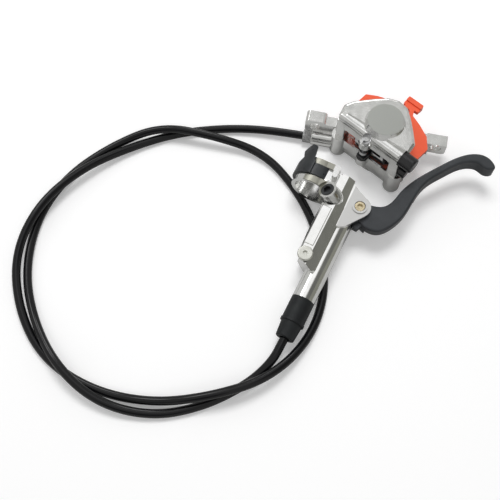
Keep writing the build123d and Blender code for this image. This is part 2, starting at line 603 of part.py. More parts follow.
def hose_nut(head_start, way):
    """Flanged hexagon with its thread beside it, along Y from the given face."""
    thread_end = head_start + way * NUT_THREAD_LEN
    head_end = head_start - way * 5.0
    nut = rod_y(NUT_THREAD_R - SEAT, min(head_start, thread_end), max(head_start, thread_end))
    nut += hex_y(NUT_HEX, min(head_start, head_end), max(head_start, head_end))
    return nut - rod_y(HOSE_R + HOSE_AIR, -40, 40)


def olive(start, end):
    """Brass ring, tapered at both ends, that the nut squeezes onto the hose."""
    middle = (start + end) / 2
    body = rod_y(OLIVE_R - SEAT, start, end)
    body = chamfer(body.edges().filter_by(GeomType.CIRCLE), 0.6)
    return body - rod_y(HOSE_R + 0.03, middle - 10, middle + 10)


def rubber_boot():
    """Slipped over the lever's neck and the nut, stepped where it grips the hose."""
    step_y = -15.0
    boot = rod_y(TUBE_R, step_y, 0)
    taper = Cone(BOOT_END_R, TUBE_R - 0.5, BOOT_LEN + step_y, align=LOW_END)
    boot += Pos(0, -BOOT_LEN, 0) * Rot(-90, 0, 0) * taper
    boot = fillet(boot.edges().filter_by(GeomType.CIRCLE).sort_by(Axis.Y)[0], 0.6)
    boot += rod_y(TUBE_R + 0.35, step_y, step_y + 1.4)
    boot -= rod_y(NECK_R + 0.05, -NECK_LEN - 5.2, 1)
    boot -= rod_y(HOSE_R + 0.55, -BOOT_LEN - 1, 0)
    return boot


# Caliper casting

def drill(radius, start, end):
    """A drilling from one point to another."""
    start, end = Vector(*start), Vector(*end)
    way = end - start
    return Plane(start, z_dir=way) * Cylinder(radius, way.length, align=LOW_END)


def pad_back(side):
    """Height of a pad's steel back: side is 1 for the upper pad, -1 for the lower."""
    return ROTOR_Z + side * PAD_STACK


def bore_end(side):
    return pad_back(side) + side * (PISTON_TALL + PISTON_AIR)


def seal_centre(side):
    return pad_back(side) + side * 3.4


def upper_half():
    outline = [(-23.6, -13.6), (-26.0, -5.0), (-23.4, 0.6), (-15.4, 10.0), (-9.6, 16.0), (-3.4, 18.8),
               (3.4, 18.0), (9.2, 13.4), (15.4, 7.6), (21.8, 1.0), (22.6, -6.0), (21.0, -13.6)]
    half = slab(outline, ROTOR_Z + ROTOR_GAP / 2, UPPER_TOP, 2.4)
    half = fillet(half.faces().sort_by(Axis.Z)[-1].edges(), 2.0)
    dome_low = UPPER_TOP - DOME_FOOT
    half += Pos(0, 0, dome_low) * Cone(PISTON_R + 3.6, FACE_R + 0.7, CALIPER_TALL - dome_low, align=LOW_END)
    # flat webs that run from the dome to both ends of the bleed ridge
    half += slab([(5.8, -8.7), (21.6, -7.2), (21.2, -5.0), (6.4, 8.9)], dome_low, UPPER_TOP + 1.6, 0.6)
    half += slab([(-6.0, 7.0), (-19.6, -3.4), (-20.4, -9.4), (-6.0, -8.0)], dome_low, UPPER_TOP + 1.2, 0.6)
    ridge = rod_x(BLEED_RIDGE_R, RIDGE_LEFT, RIDGE_RIGHT, BLEED_RIDGE_Y, BLEED_RIDGE_Z)
    return half + fillet(ridge.edges().sort_by(Axis.X)[0], 2.0)


def lower_half():
    outline = [(-25.0, -12.0), (-26.0, -4.0), (-20.0, 6.0), (-13.0, 12.6), (-4.0, 17.0), (4.0, 17.0),
               (12.0, 12.6), (20.0, 3.0), (23.8, -4.0), (22.0, -12.0)]
    half = slab(outline, LOWER_FOOT, ROTOR_Z - ROTOR_GAP / 2, 2.4)
    half = fillet(half.faces().sort_by(Axis.Z)[0].edges(), 1.6)
    half += Cone(PISTON_R - 1.0, PISTON_R + 2.6, LOWER_FOOT + 0.5, align=LOW_END)
    for lobe_x, lobe_y in ((-21.4, -11.2), (19.4, -9.6)):
        lobe = rod_z(LOBE_R, 0.6, ROTOR_Z - ROTOR_GAP / 2, lobe_x, lobe_y)
        half += fillet(lobe.edges().sort_by(Axis.Z)[0], 1.2)
    return half


def front_pillars():
    """The outer side that joins both halves: a pillar at each end, open between them to the pads."""
    low, high = ROTOR_Z - ROTOR_GAP / 2 - 8, ROTOR_Z + ROTOR_GAP / 2 + 6
    left = slab([(-23.6, FRONT_FACE), (-25.4, -5.0), (WINDOW_LEFT, -5.0), (WINDOW_LEFT, FRONT_FACE)],
                low, high, 1.0)
    right = slab([(WINDOW_RIGHT, FRONT_FACE), (WINDOW_RIGHT, -5.0), (22.0, -5.0), (22.0, FRONT_FACE)],
                 low, high, 1.0)
    sill = slab([(WINDOW_LEFT - 1, FRONT_FACE + 1), (WINDOW_LEFT - 1, -8.0), (WINDOW_RIGHT + 1, -8.0),
                 (WINDOW_RIGHT + 1, FRONT_FACE + 1)], low, ROTOR_Z - ROTOR_GAP / 2)
    return left + right + sill


def mounting_ears():
    """Two square ears for the post-mount bolts, each on an arm to the inner half."""
    low, high = EAR_Z - EAR_TALL / 2, EAR_Z + EAR_TALL / 2
    back = EAR_FRONT_Y + EAR_THICK
    under_rotor = ROTOR_Z - ROTOR_GAP / 2
    right_x = EAR_LEFT_X + MOUNT_SPACING
    ears = block(EAR_LEFT_X - EAR_EDGE, EAR_LEFT_X + EAR_EDGE, EAR_FRONT_Y, back, low, high)
    ears += block(right_x - EAR_EDGE, right_x + EAR_EDGE, EAR_FRONT_Y, back, low, high)
    ears = fillet(ears.edges().filter_by(Axis.Y), 2.2)
    ears += block(EAR_LEFT_X + EAR_EDGE - 1, -16, EAR_FRONT_Y, back - 1.0, low + 0.6, under_rotor)
    arm_end = right_x - EAR_EDGE + 2.6
    ears += slab([(6.0, 2.0), (arm_end, EAR_FRONT_Y + 1.0), (arm_end, back - 1.0), (2.0, back + 1.0)],
                 LOWER_FOOT + 1.4, under_rotor)
    for hole_x in (EAR_LEFT_X, right_x):
        ears -= rod_y(EAR_HOLE_R, EAR_FRONT_Y - 1, back + 1, hole_x, EAR_Z)
    return ears


def hose_port():
    barrel = rod_x(PORT_R, PORT_LEFT, PORT_RIGHT, PORT_Y, PORT_Z)
    return fillet(barrel.edges().sort_by(Axis.X)[0], 0.8)


def caliper_body():
    body = upper_half() + lower_half() + front_pillars()
    # lugs for the pad pin, with a scallop in the bleed ridge to let it in from above
    body += rod_z(3.6, pad_back(1) + 0.3, PIN_LUG_TOP, PIN_X, PIN_Y)
    body += rod_z(3.6, PIN_LUG_FOOT, pad_back(-1) - 0.3, PIN_X, PIN_Y)
    body += block(PIN_X - 3.6, PIN_X + 3.6, PIN_Y, -8.0, PIN_LUG_FOOT, pad_back(-1) - 0.3)
    body -= rod_z(3.0, PIN_LUG_TOP, CALIPER_TALL, PIN_X, PIN_Y - 0.4)

    ears = Rot(0, 0, -CALIPER_TURN) * (mounting_ears() + hose_port())
    body += ears

    # the rotor's slot is part of the rotor's own circle
    slot_r = ROTOR_R + ROTOR_AIR
    slot = rod_z(slot_r, ROTOR_Z - ROTOR_GAP / 2, ROTOR_Z + ROTOR_GAP / 2, 0, ROTOR_Y)
    body -= slot & block(-60, 60, -40, 60, 0, 60)
    pocket_low, pocket_high = pad_back(-1) - PAD_AIR, pad_back(1) + PAD_AIR
    body -= block(-PAD_HALF - PAD_AIR, PAD_HALF + PAD_AIR, -9.6, 40, pocket_low, pocket_high)
    body -= slab([(WINDOW_LEFT, -20), (WINDOW_LEFT + 1.6, -8), (WINDOW_RIGHT - 1.6, -8), (WINDOW_RIGHT, -20)],
                 pocket_low, pocket_high)
    for side in (1, -1):
        low, high = sorted((pad_back(side) - side * 1.0, bore_end(side)))
        body -= rod_z(PISTON_R, low, high)
        centre = seal_centre(side)
        body -= rod_z(PISTON_R + SEAL_DEEP, centre - SEAL_TALL / 2, centre + SEAL_TALL / 2)
    body -= rod_z(PIN_R + SEAT, PIN_LUG_FOOT - 1, CALIPER_TALL, PIN_X, PIN_Y)

    # bleed thread and its way to the space over the outer piston
    body -= rod_x(NIPPLE_R, NIPPLE_END, RIDGE_RIGHT + 1, BLEED_RIDGE_Y, BLEED_RIDGE_Z)
    body -= drill(0.8, (NIPPLE_END + 0.5, BLEED_RIDGE_Y, BLEED_RIDGE_Z), (7.0, -6.0, bore_end(1) - 0.6))
    # the hose port's way to the inner piston, and the cross-over up the left pillar
    port = Rot(0, 0, -CALIPER_TURN)
    body -= port * rod_x(NUT_THREAD_R, PORT_LEFT - 1, PORT_LEFT + NUT_THREAD_LEN, PORT_Y, PORT_Z)
    body -= port * rod_x(OLIVE_R, PORT_LEFT, PORT_LEFT + NUT_THREAD_LEN + OLIVE_LEN, PORT_Y, PORT_Z)
    body -= port * rod_x(1.2, PORT_LEFT, -7.0, PORT_Y, PORT_Z)
    body -= port * rod_z(1.2, PORT_Z, bore_end(-1) + 0.5, -7.0, PORT_Y)
    body -= rod_z(1.0, PORT_Z, BLEED_RIDGE_Z, CROSS_X, CROSS_Y)
    body -= drill(0.8, (CROSS_X, CROSS_Y, BLEED_RIDGE_Z - 0.5), (-8.0, -5.0, bore_end(1) - 0.6))
    body -= rod_x(NIPPLE_CAP_R + 0.3, RIDGE_RIGHT, RIDGE_RIGHT + 12, BLEED_RIDGE_Y, BLEED_RIDGE_Z)
    # blind plug in the right pillar
    body -= rod_x(PLUG_THREAD_R, PLUG_FACE - 4.4, PLUG_FACE + 3, PLUG_Y, ROTOR_Z + 0.5)
    return body


# Pistons, seals and pads

def caliper_piston(side):
    """A cup, open towards the pad's steel back."""
    low, high = sorted((pad_back(side), pad_back(side) + side * PISTON_TALL))
    piston = rod_z(PISTON_R - RUNNING, low, high)
    piston = chamfer(piston.edges().filter_by(GeomType.CIRCLE), 0.4)
    low, high = sorted((pad_back(side) - side, pad_back(side) + side * (PISTON_TALL - PISTON_WALL)))
    return piston - rod_z(PISTON_R - PISTON_WALL, low, high)


def piston_seal(side):
    """Square-section ring in the bore's groove, gripping the piston."""
    centre = seal_centre(side)
    ring = rod_z(PISTON_R + SEAL_DEEP - SEAT, centre - SEAL_TALL / 2 + SEAT, centre + SEAL_TALL / 2 - SEAT)
    return ring - rod_z(PISTON_R, centre - SEAL_TALL, centre + SEAL_TALL)


def pad_plate(side):
    """Steel back with a tab for the pin."""
    tab_end = PIN_Y - 2.4
    outline = [(-PAD_HALF, -6.4), (-PAD_HALF + 2.4, -9.2), (PIN_X - 3.4, -9.2), (PIN_X - 2.6, tab_end),
               (PIN_X + 2.6, tab_end), (PIN_X + 3.4, -9.2), (PAD_HALF - 2.4, -9.2), (PAD_HALF, -6.4),
               (PAD_HALF, PAD_HUB_SIDE - 3), (PAD_HALF - 3, PAD_HUB_SIDE), (-PAD_HALF + 3, PAD_HUB_SIDE),
               (-PAD_HALF, PAD_HUB_SIDE - 3)]
    low, high = sorted((pad_back(side), pad_back(side) - side * PAD_PLATE_THICK))
    return slab(outline, low, high, 0.6) - rod_z(PIN_R + 0.25, 0, 60, PIN_X, PIN_Y)


def pad_lining(side):
    face = pad_back(side) - side * PAD_PLATE_THICK
    low, high = sorted((face, face - side * LINING_THICK))
    half, hub_side = PAD_HALF - 0.8, PAD_HUB_SIDE - 0.6
    outline = [(-half, -5.8), (-half + 2.6, -8.2), (half - 2.6, -8.2), (half, -5.8), (half, hub_side - 3),
               (half - 3, hub_side), (-half + 3, hub_side), (-half, hub_side - 3)]
    return slab(outline, low, high)


def pad_spring():
    """Leaf between the two steel backs, with an eye round the pin."""
    low, high = pad_back(-1) + PAD_PLATE_THICK + 0.5, pad_back(1) - PAD_PLATE_THICK - 0.5
    leaf = block(-11.0, 10.0, -10.5, -10.1, low, high)
    leaf -= block(-8.6, -5.6, -12, -9, low + 1.4, high - 1.4)
    leaf -= block(2.2, 7.8, -12, -9, low + 1.4, high - 1.4)
    leaf += rod_z(2.6, ROTOR_Z - 1.2, ROTOR_Z + 1.2, PIN_X, PIN_Y)
    leaf += block(PIN_X - 1.0, PIN_X + 1.0, PIN_Y, -10.1, ROTOR_Z - 1.2, ROTOR_Z + 1.2)
    return leaf - rod_z(PIN_R + 0.1, 0, 60, PIN_X, PIN_Y)


def pad_pin():
    pin = rod_z(PIN_R, PIN_LUG_FOOT - 0.4, PIN_LUG_TOP + 2.6, PIN_X, PIN_Y)
    pin = chamfer(pin.edges().filter_by(GeomType.CIRCLE).sort_by(Axis.Z)[0], 0.4)
    pin += rod_z(PIN_R + 0.9, PIN_LUG_TOP, PIN_LUG_TOP + 0.9, PIN_X, PIN_Y)
    groove = rod_z(3, PIN_LUG_TOP + 1.3, PIN_LUG_TOP + 1.9, PIN_X, PIN_Y)
    return pin - (groove - rod_z(PIN_R - 0.4, 0, 60, PIN_X, PIN_Y))


def pad_pin_clip():
    """Snap ring in the pin's groove."""
    low = PIN_LUG_TOP + 1.35
    ring = rod_z(PIN_R + 1.1, low, low + 0.5, PIN_X, PIN_Y)
    ring -= rod_z(PIN_R - 0.38, 0, 60, PIN_X, PIN_Y)
    return ring - block(PIN_X - 0.8, PIN_X + 0.8, PIN_Y - 4, PIN_Y - 0.9, low - 1, low + 2)


# Bleed nipple, its cap and the blind plug

def bleed_nipple():
    face = RIDGE_RIGHT
    nipple = rod_x(NIPPLE_R - SEAT, NIPPLE_END + 0.6, face)
    hexagon = extrude(RegularPolygon(3.5 / math.cos(math.pi / 6), 6), amount=3.4)
    nipple += Pos(face, 0, 0) * Rot(0, 90, 0) * hexagon
    nipple += rod_x(1.6, face + 3.39, face + 6.6) + rod_x(2.0, face + 5.0, face + 6.6)
    nipple -= rod_x(0.8, NIPPLE_END, face + 8)
    return Pos(0, BLEED_RIDGE_Y, BLEED_RIDGE_Z) * nipple


def nipple_cap():
    face = RIDGE_RIGHT + 0.2
    cap = rod_x(NIPPLE_CAP_R, face, face + 8.8)
    cap = fillet(cap.edges().sort_by(Axis.X)[-1], 1.2)
    cap -= rod_x(4.06, face - 1, face + 3.3)
    cap -= rod_x(2.03, face, face + 6.8)
    return Pos(0, BLEED_RIDGE_Y, BLEED_RIDGE_Z) * cap


def port_plug():
    plug = rod_x(PLUG_THREAD_R - SEAT, PLUG_FACE - 4.0, PLUG_FACE + 0.01)
    head = rod_x(PLUG_HEAD_R, PLUG_FACE, PLUG_FACE + 4.6)
    plug += fillet(head.edges().sort_by(Axis.X)[-1], 0.8)
    return Pos(0, PLUG_Y, ROTOR_Z + 0.5) * plug


# Shipping spacer in the place of the rotor

def pad_spacer():
    """Moulded blade between the pads, two wings in front of the slot and a grip on a necked stem."""
    wings = [(-13.0, -7.4), (13.0, -7.4), (14.4, 1.0), (25.2, -3.0), (26.0, 11.4), (20.4, 18.0), (12.0, 22.0),
             (5.2, 24.4), (3.4, 28.6), (-2.4, 28.6), (-4.2, 25.2), (-11.0, 24.6), (-19.4, 21.4),
             (-25.6, 17.6), (-26.2, 2.0), (-14.4, 1.0)]
    low = ROTOR_Z - SPACER_THICK / 2
    spacer = slab(wings, low, low + SPACER_THICK, 1.0)
    grip = slab([(-4.6, 28.0), (6.2, 28.0), (6.2, 33.8), (-4.6, 33.8)], low, low + SPACER_THICK, 0.6)
    bar = slab([(-4.6, 30.6), (6.2, 30.6), (6.2, 33.8), (-4.6, 33.8)],
               low - 1.0, low + SPACER_THICK + 1.0, 0.6)
    spacer += grip + bar
    spacer -= rod_z(2.15, 0, 60, 0, 24.4)
    return spacer


# Hose

def hose():
    """One line of straight runs and tangent arcs, each arc as large as its two runs allow."""
    points = [Vector(*p) for p in HOSE_ROUTE]
    radii = []
    for before, corner, after in zip(points, points[1:], points[2:]):
        run_in, run_out = corner - before, after - corner
        turn = math.radians(run_in.get_angle(run_out))
        radii.append(ARC_SHARE * min(run_in.length, run_out.length) / math.tan(turn / 2))
    path = FilletPolyline(*HOSE_ROUTE, radius=radii)
    line = path.length
    tube = sweep(Plane(path @ 0, z_dir=path % 0) * Circle(HOSE_R), path=path)
    print("hose radii", [round(r) for r in radii])
    print(f"hose length {line:.1f}, volume {tube.volume:.0f} against {math.pi * HOSE_R ** 2 * line:.0f}")
    return tube


lever_nodes = {
    "lever_body": lever_body(),
    "reservoir_cover": reservoir_cover(),
    "reservoir_diaphragm": reservoir_diaphragm(),
    "bleed_screw": bleed_screw(),
    "bleed_o_ring": bleed_o_ring(),
    "clamp_band": clamp_band(),
    "clamp_hinge_pin": clamp_hinge_pin(),
    "clamp_screw": clamp_screw(),
    "clamp_insert": clamp_insert(),
    "lever_blade": lever_blade(),
    "pivot_bolt": pivot_bolt(),
    "pivot_bushes": pivot_bushes(),
    "cam_roller": cam_roller(),
    "roller_pin": roller_pin(),
    "pushrod": pushrod(),
    "master_piston": master_piston(),
    "piston_cups": piston_cups(),
    "piston_stop_ring": piston_stop_ring(),
    "return_spring": return_spring(),
    "lever_hose_nut": hose_nut(-NECK_LEN, 1),
    "lever_olive": olive(-3.0 + SEAT, -0.4),
    "rubber_boot": rubber_boot(),
}
for name, part in lever_nodes.items():
    save(LEVER * part, name)

caliper_nodes = {
    "caliper_body": caliper_body(),
    "upper_piston": caliper_piston(1),
    "lower_piston": caliper_piston(-1),
    "upper_piston_seal": piston_seal(1),
    "lower_piston_seal": piston_seal(-1),
    "upper_pad_plate": pad_plate(1),
    "upper_pad_lining": pad_lining(1),
    "lower_pad_plate": pad_plate(-1),
    "lower_pad_lining": pad_lining(-1),
    "pad_spring": pad_spring(),
    "pad_pin": pad_pin(),
    "pad_pin_clip": pad_pin_clip(),
    "bleed_nipple": bleed_nipple(),
    "nipple_cap": nipple_cap(),
    "port_plug": port_plug(),
    "pad_spacer": pad_spacer(),
}
for name, part in caliper_nodes.items():
    save(CALIPER * part, name)

# the port's own fittings point along X
along_port = EARS * Pos(PORT_LEFT, PORT_Y, PORT_Z) * Rot(0, 0, -90)
save(along_port * hose_nut(0, 1), "caliper_hose_nut")
save(along_port * olive(NUT_THREAD_LEN + SEAT, NUT_THREAD_LEN + OLIVE_LEN), "caliper_olive")

save(hose(), "hose")
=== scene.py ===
import math

import bpy
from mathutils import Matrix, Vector


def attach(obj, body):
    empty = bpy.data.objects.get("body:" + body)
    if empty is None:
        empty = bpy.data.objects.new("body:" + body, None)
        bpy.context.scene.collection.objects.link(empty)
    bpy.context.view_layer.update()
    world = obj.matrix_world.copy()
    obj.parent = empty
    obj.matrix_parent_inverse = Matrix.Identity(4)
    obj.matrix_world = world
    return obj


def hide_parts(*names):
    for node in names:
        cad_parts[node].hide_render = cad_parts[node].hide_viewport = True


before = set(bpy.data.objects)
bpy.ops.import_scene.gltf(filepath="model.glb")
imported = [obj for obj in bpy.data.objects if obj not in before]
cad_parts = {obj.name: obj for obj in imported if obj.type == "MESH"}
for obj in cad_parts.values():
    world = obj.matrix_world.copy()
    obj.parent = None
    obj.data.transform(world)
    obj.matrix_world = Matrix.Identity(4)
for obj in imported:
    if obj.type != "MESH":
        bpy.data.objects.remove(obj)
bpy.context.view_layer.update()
mm = 0.001


# camera, at the photograph's viewing angle
camera = {
    "position": (-0.0349, -0.2155, 0.4312),
    "target": (-0.075, -0.0277, 0.0),
    "lens": 57.4,
    "sensorWidth": 36.0,
    "nearest": 0.01,
    "farthest": 20.0,
}


def placeCamera(settings):
    data = bpy.data.cameras.new("camera")
    data.lens = settings["lens"]
    data.sensor_width = settings["sensorWidth"]
    data.clip_start = settings["nearest"]
    data.clip_end = settings["farthest"]
    cameraPiece = bpy.data.objects.new("camera", data)
    bpy.context.scene.collection.objects.link(cameraPiece)
    lookAlong = Vector(settings["target"]) - Vector(settings["position"])
    cameraPiece.location = settings["position"]
    cameraPiece.rotation_euler = lookAlong.to_track_quat("-Z", "Y").to_euler()
    bpy.context.scene.camera = cameraPiece


placeCamera(camera)
print("camera placed")


# nodes that the materials, the floor and the world share

def feed(tree, socket, value):
    if hasattr(value, "is_linked"):  # another node's output, and otherwise a plain value
        tree.links.new(value, socket)
    else:
        socket.default_value = value


def mathNode(tree, operation, first, second):
    node = tree.nodes.new("ShaderNodeMath")
    node.operation = operation
    feed(tree, node.inputs[0], first)
    feed(tree, node.inputs[1], second)
    return node.outputs[0]


def mapRange(tree, value, fromSpan, toSpan, kind="LINEAR"):
    node = tree.nodes.new("ShaderNodeMapRange")
    node.interpolation_type = kind
    node.inputs["From Min"].default_value, node.inputs["From Max"].default_value = fromSpan
    node.inputs["To Min"].default_value, node.inputs["To Max"].default_value = toSpan
    tree.links.new(value, node.inputs["Value"])
    return node.outputs["Result"]


def along(tree, place, direction):
    node = tree.nodes.new("ShaderNodeVectorMath")
    node.operation = "DOT_PRODUCT"
    node.inputs[1].default_value = direction
    tree.links.new(place, node.inputs[0])
    return node.outputs["Value"]


# the mix node's two inputs and its output for each kind of value
mixSockets = {"RGBA": (6, 7, 2), "FLOAT": (2, 3, 0)}


def mixBy(tree, mask, low, high, kind="RGBA"):
    node = tree.nodes.new("ShaderNodeMix")
    node.data_type = kind
    lowInput, highInput, output = mixSockets[kind]
    tree.links.new(mask, node.inputs["Factor"])
    for number, value in ((lowInput, low), (highInput, high)):
        if isinstance(value, tuple):
            value = (*value, 1.0)
        feed(tree, node.inputs[number], value)
    return node.outputs[output]


def lightRays(tree):
    # rays straight from the camera or through something clear, and rays off a shiny surface
    path = tree.nodes.new("ShaderNodeLightPath")
    direct = mathNode(tree, "MAXIMUM", path.outputs["Is Camera Ray"], path.outputs["Is Transmission Ray"])
    return direct, path.outputs["Is Glossy Ray"]


# how each finish is built up from noise; depths are in metres
surface = {
    "toneSpan": (0.35, 0.68),
    "toneDetail": 4.0,
    "patchScale": 2.3,
    "patchSpan": (0.3, 0.7),
    "fineDetail": 5.0,
    "waveDetail": 2.0,
    "grainDepth": 0.0001,
    "waveDepth": 0.0004,
}


def noiseNode(tree, scale, detail):
    place = tree.nodes.new("ShaderNodeTexCoord")
    mapping = tree.nodes.new("ShaderNodeMapping")
    mapping.inputs["Scale"].default_value = (scale, scale, scale)
    noise = tree.nodes.new("ShaderNodeTexNoise")
    noise.inputs["Scale"].default_value = 1.0
    noise.inputs["Detail"].default_value = detail
    tree.links.new(place.outputs["Object"], mapping.inputs["Vector"])
    tree.links.new(mapping.outputs["Vector"], noise.inputs["Vector"])
    return noise.outputs["Fac"]


def toneRamp(tree, value, span, dark, light):
    node = tree.nodes.new("ShaderNodeValToRGB")
    for stop, position, color in zip(node.color_ramp.elements, span, (dark, light)):
        stop.position = position
        stop.color = (*color, 1.0)
    tree.links.new(value, node.inputs["Fac"])
    return node.outputs["Color"]


def bump(tree, shader, height, strength, depth, under=None):
    node = tree.nodes.new("ShaderNodeBump")
    node.inputs["Strength"].default_value = strength
    node.inputs["Distance"].default_value = depth
    tree.links.new(height, node.inputs["Height"])
    if under is not None:
        tree.links.new(under, node.inputs["Normal"])
    tree.links.new(node.outputs["Normal"], shader.inputs["Normal"])
    return node.outputs["Normal"]


def satinZone(tree, shader, look):
    # beyond all of its planes the surface is bead-blasted, so duller
    place = tree.nodes.new("ShaderNodeTexCoord").outputs["Object"]
    inside = 1.0
    for direction, distance in look["satinPlanes"]:
        beyond = mathNode(tree, "GREATER_THAN", along(tree, place, direction), distance * mm)
        inside = mathNode(tree, "MULTIPLY", inside, beyond)
    satin = (("Base Color", look["satinTone"], "RGBA"), ("Roughness", look["satinRough"], "FLOAT"))
    for name, value, kind in satin:
        polished = shader.inputs[name].links[0].from_socket
        tree.links.new(mixBy(tree, inside, polished, value, kind), shader.inputs[name])


def finishedMaterial(name, look):
    material = bpy.data.materials.new(name)
    material.use_nodes = True
    tree = material.node_tree
    shader = tree.nodes["Principled BSDF"]
    shader.inputs["Base Color"].default_value = (*look["light"], 1.0)
    shader.inputs["Roughness"].default_value = look["roughness"][1]
    shader.inputs["Metallic"].default_value = look.get("metallic", 0.0)
    tone = noiseNode(tree, look["toneScale"], surface["toneDetail"])
    color = toneRamp(tree, tone, surface["toneSpan"], look["dark"], look["light"])
    tree.links.new(color, shader.inputs["Base Color"])
    patches = noiseNode(tree, look["toneScale"] * surface["patchScale"], surface["fineDetail"])
    rough = mapRange(tree, patches, surface["patchSpan"], look["roughness"])
    tree.links.new(rough, shader.inputs["Roughness"])
    grain = noiseNode(tree, look["grainScale"], surface["fineDetail"])
    fine = bump(tree, shader, grain, look["grain"], surface["grainDepth"])
    if "wave" in look:
        swell = noiseNode(tree, look["waveScale"], surface["waveDetail"])
        bump(tree, shader, swell, look["wave"], surface["waveDepth"], fine)
    if "satinTone" in look:
        satinZone(tree, shader, look)
    if "specular" in look:
        shader.inputs["Specular IOR Level"].default_value = look["specular"]
    return material


# the lever lies askew: away from its tube towards the blade and towards the bar, and up from it
bladeWay = (0.968148, -0.25038, 0.0)
barWay = (-0.968148, 0.25038, 0.0)
leverUp = (-0.016593, -0.06416, 0.9978)
partUp = (0.0, 0.0, 1.0)

# one look for each finish: tones, gloss range, grain per metre; satin planes stand in millimetres
looks = {
    "polishedAlloy": {
        "light": (0.90, 0.90, 0.89), "dark": (0.80, 0.80, 0.785), "metallic": 1.0,
        "roughness": (0.07, 0.17), "toneScale": 90.0, "grainScale": 2600.0, "grain": 0.05,
        "wave": 0.05, "waveScale": 260.0,
        "satinPlanes": [(bladeWay, -24.154), (leverUp, 22.88)],  # top of the bracket plate
        "satinTone": (0.60, 0.60, 0.59), "satinRough": 0.30},
    "caliperAlloy": {
        "light": (0.84, 0.84, 0.83), "dark": (0.72, 0.72, 0.71), "metallic": 1.0,
        "roughness": (0.12, 0.24), "toneScale": 110.0, "grainScale": 3400.0, "grain": 0.09,
        "wave": 0.06, "waveScale": 320.0,
        "satinPlanes": [(partUp, 42.9)],  # round face on top of the dome
        "satinTone": (0.40, 0.41, 0.39), "satinRough": 0.42},
    "bandAlloy": {
        "light": (0.84, 0.84, 0.83), "dark": (0.72, 0.72, 0.71), "metallic": 1.0,
        "roughness": (0.14, 0.26), "toneScale": 110.0, "grainScale": 3400.0, "grain": 0.09,
        "wave": 0.06, "waveScale": 320.0,
        "satinPlanes": [(barWay, 39.2), (leverUp, 29.0)],  # tops of the two prongs
        "satinTone": (0.36, 0.355, 0.31), "satinRough": 0.34},
    "capAlloy": {
        "light": (0.74, 0.74, 0.69), "dark": (0.62, 0.62, 0.57), "metallic": 1.0,
        "roughness": (0.24, 0.36), "toneScale": 160.0, "grainScale": 4200.0, "grain": 0.08},
    "satinAlloy": {
        "light": (0.66, 0.66, 0.645), "dark": (0.56, 0.56, 0.545), "metallic": 1.0,
        "roughness": (0.28, 0.40), "toneScale": 140.0, "grainScale": 5200.0, "grain": 0.12},
    "turnedSteel": {
        "light": (0.66, 0.66, 0.66), "dark": (0.50, 0.50, 0.51), "metallic": 1.0,
        "roughness": (0.16, 0.30), "toneScale": 220.0, "grainScale": 5000.0, "grain": 0.08},
    "springSteel": {
        "light": (0.72, 0.72, 0.73), "dark": (0.55, 0.55, 0.57), "metallic": 1.0,
        "roughness": (0.12, 0.24), "toneScale": 200.0, "grainScale": 5200.0, "grain": 0.05},
    "blackSteel": {
        "light": (0.060, 0.063, 0.066), "dark": (0.030, 0.031, 0.033), "metallic": 0.6,
        "roughness": (0.26, 0.42), "toneScale": 260.0, "grainScale": 6000.0, "grain": 0.10},
    "paintedSteel": {
        "light": (0.030, 0.031, 0.033), "dark": (0.018, 0.018, 0.019), "metallic": 0.2,
        "roughness": (0.30, 0.48), "toneScale": 240.0, "grainScale": 4800.0, "grain": 0.16},
    "lining": {
        "light": (0.16, 0.14, 0.12), "dark": (0.06, 0.055, 0.05), "metallic": 0.1,
        "roughness": (0.6, 0.9), "toneScale": 1400.0, "grainScale": 2400.0, "grain": 0.6},
    "graphite": {
        "light": (0.052, 0.056, 0.061), "dark": (0.038, 0.041, 0.045), "metallic": 0.35,
        "roughness": (0.34, 0.46), "toneScale": 60.0, "grainScale": 7600.0, "grain": 0.16},
    "blackMoulding": {
        "light": (0.020, 0.023, 0.026), "dark": (0.012, 0.014, 0.016), "specular": 0.5,
        "roughness": (0.26, 0.36), "toneScale": 120.0, "grainScale": 6400.0, "grain": 0.22},
    "rubber": {
        "light": (0.015, 0.017, 0.018), "dark": (0.009, 0.010, 0.011), "specular": 0.3,
        "roughness": (0.40, 0.56), "toneScale": 90.0, "grainScale": 4200.0, "grain": 0.22},
    "capRubber": {
        "light": (0.016, 0.016, 0.017), "dark": (0.006, 0.006, 0.007), "specular": 0.5,
        "roughness": (0.12, 0.24), "toneScale": 180.0, "grainScale": 3600.0, "grain": 0.08},
    "hoseJacket": {
        "light": (0.006, 0.006, 0.007), "dark": (0.004, 0.004, 0.005), "specular": 0.35,
        "roughness": (0.10, 0.20), "toneScale": 50.0, "grainScale": 2200.0, "grain": 0.05},
    "orangeMoulding": {
        "light": (0.94, 0.140, 0.062), "dark": (0.88, 0.118, 0.050),
        "roughness": (0.30, 0.42), "toneScale": 60.0, "grainScale": 3800.0, "grain": 0.06},
    "brass": {
        "light": (0.70, 0.61, 0.42), "dark": (0.52, 0.44, 0.29), "metallic": 1.0,
        "roughness": (0.18, 0.32), "toneScale": 420.0, "grainScale": 5200.0, "grain": 0.06},
    "resin": {
        "light": (0.42, 0.37, 0.30), "dark": (0.33, 0.29, 0.23),
        "roughness": (0.4, 0.55), "toneScale": 260.0, "grainScale": 3600.0, "grain": 0.15},
}
materials = {name: finishedMaterial(name, look) for name, look in looks.items()}
print(f"{len(materials)} materials made")


